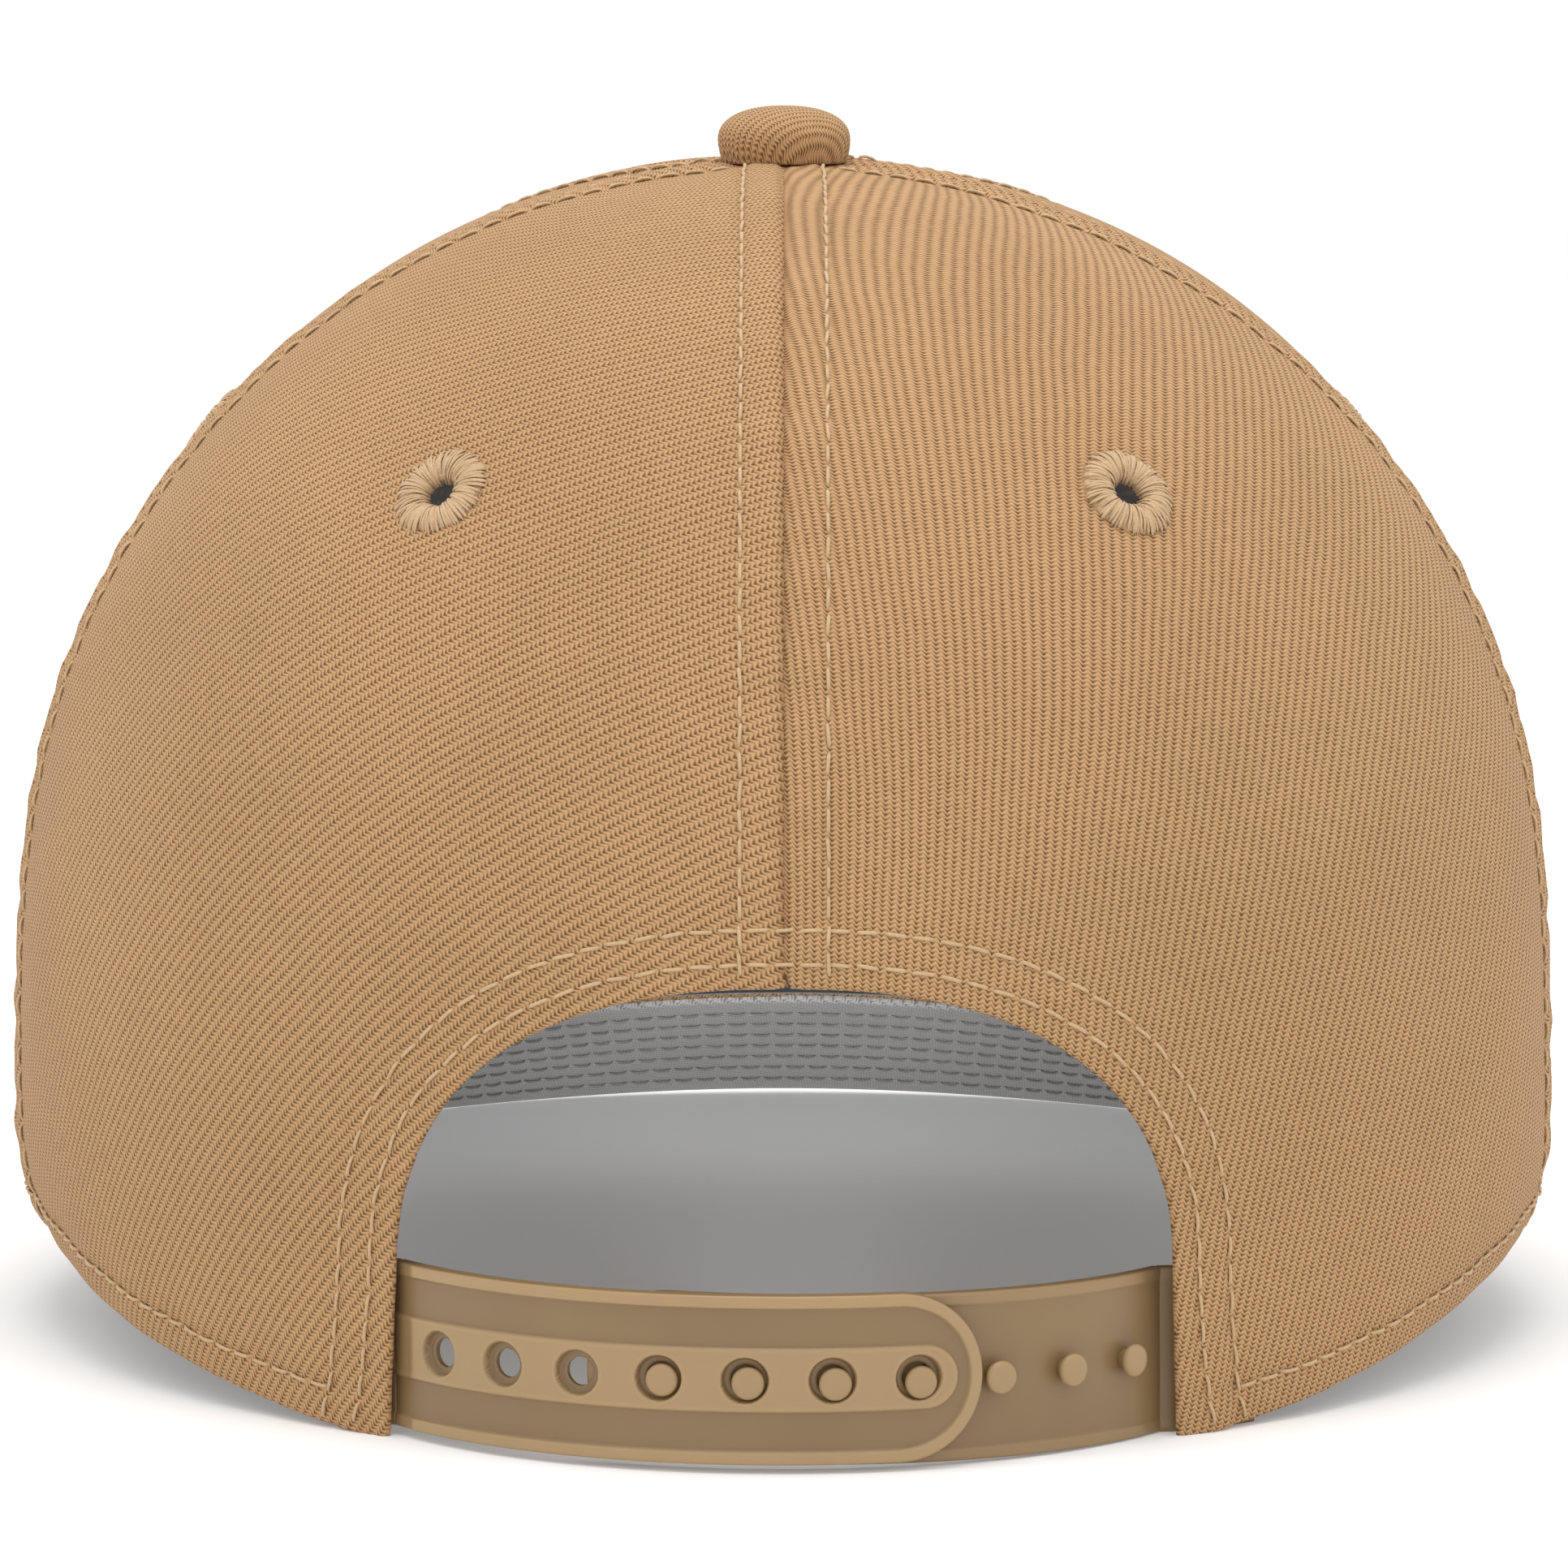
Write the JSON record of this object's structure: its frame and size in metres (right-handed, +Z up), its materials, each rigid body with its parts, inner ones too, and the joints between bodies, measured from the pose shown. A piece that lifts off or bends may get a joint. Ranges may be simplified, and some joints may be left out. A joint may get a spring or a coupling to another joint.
{
  "type": "baseball cap",
  "caption": "Baseball cap with a panelled crown, curved visor, covered top button, stitched eyelets, inner sweatband, and an arched rear opening closed by a plastic snap strap",
  "frame": {"origin": "middle of the footprint, on the table", "axes": "+X is the wearer's right, +Y is forward over the visor, +Z is up; the rear opening faces -Y"},
  "size_m": [0.19, 0.281, 0.1484],
  "materials": {
    "twill": "tan cotton twill",
    "thread": "pale sewing thread",
    "tape": "grey woven tape",
    "buckram": "grey fused stiffener",
    "sweatband": "dark cotton band",
    "strap": "soft satin plastic",
    "metal": "plain",
    "board": "moulded sheet",
    "under_visor": "grey cotton twill"
  },
  "bodies": {
    "cap": {"arch_facing": "tape", "back_panel_left": "twill", "back_panel_right": "twill", "button_cover": "twill", "button_shell": "metal", "button_tack": "metal", "eyelet_back_left": "thread", "eyelet_back_right": "thread", "eyelet_side_left": "thread", "eyelet_side_right": "thread", "front_buckram": "buckram", "front_panel": "twill", "seam_tape_back": "tape", "seam_tape_front_left": "tape", "seam_tape_front_right": "tape", "seam_tape_side_left": "tape", "seam_tape_side_right": "tape", "side_panel_left": "twill", "side_panel_right": "twill", "strap_flange_left": "strap", "strap_flange_right": "strap", "sweatband_face": "sweatband", "sweatband_liner": "sweatband", "visor_board": "board", "visor_top_cover": "twill", "visor_under_cover": "under_visor"},
    "hole_strap": {"strap_holes": "strap"},
    "peg_strap": {"strap_pegs": "strap"}
  },
  "joints": [
    {"name": "hole_strap_hinge", "type": "hinge", "parent": "cap", "child": "hole_strap", "pos_m": [-0.04312, -0.11781, 0.01055], "axis": [0, 0, -1], "range_deg": [0, 40]},
    {"name": "peg_strap_hinge", "type": "hinge", "parent": "cap", "child": "peg_strap", "pos_m": [0.04183, -0.11687, 0.01055], "axis": [0, 0, -1], "range_deg": [0, 50]}
  ]
}
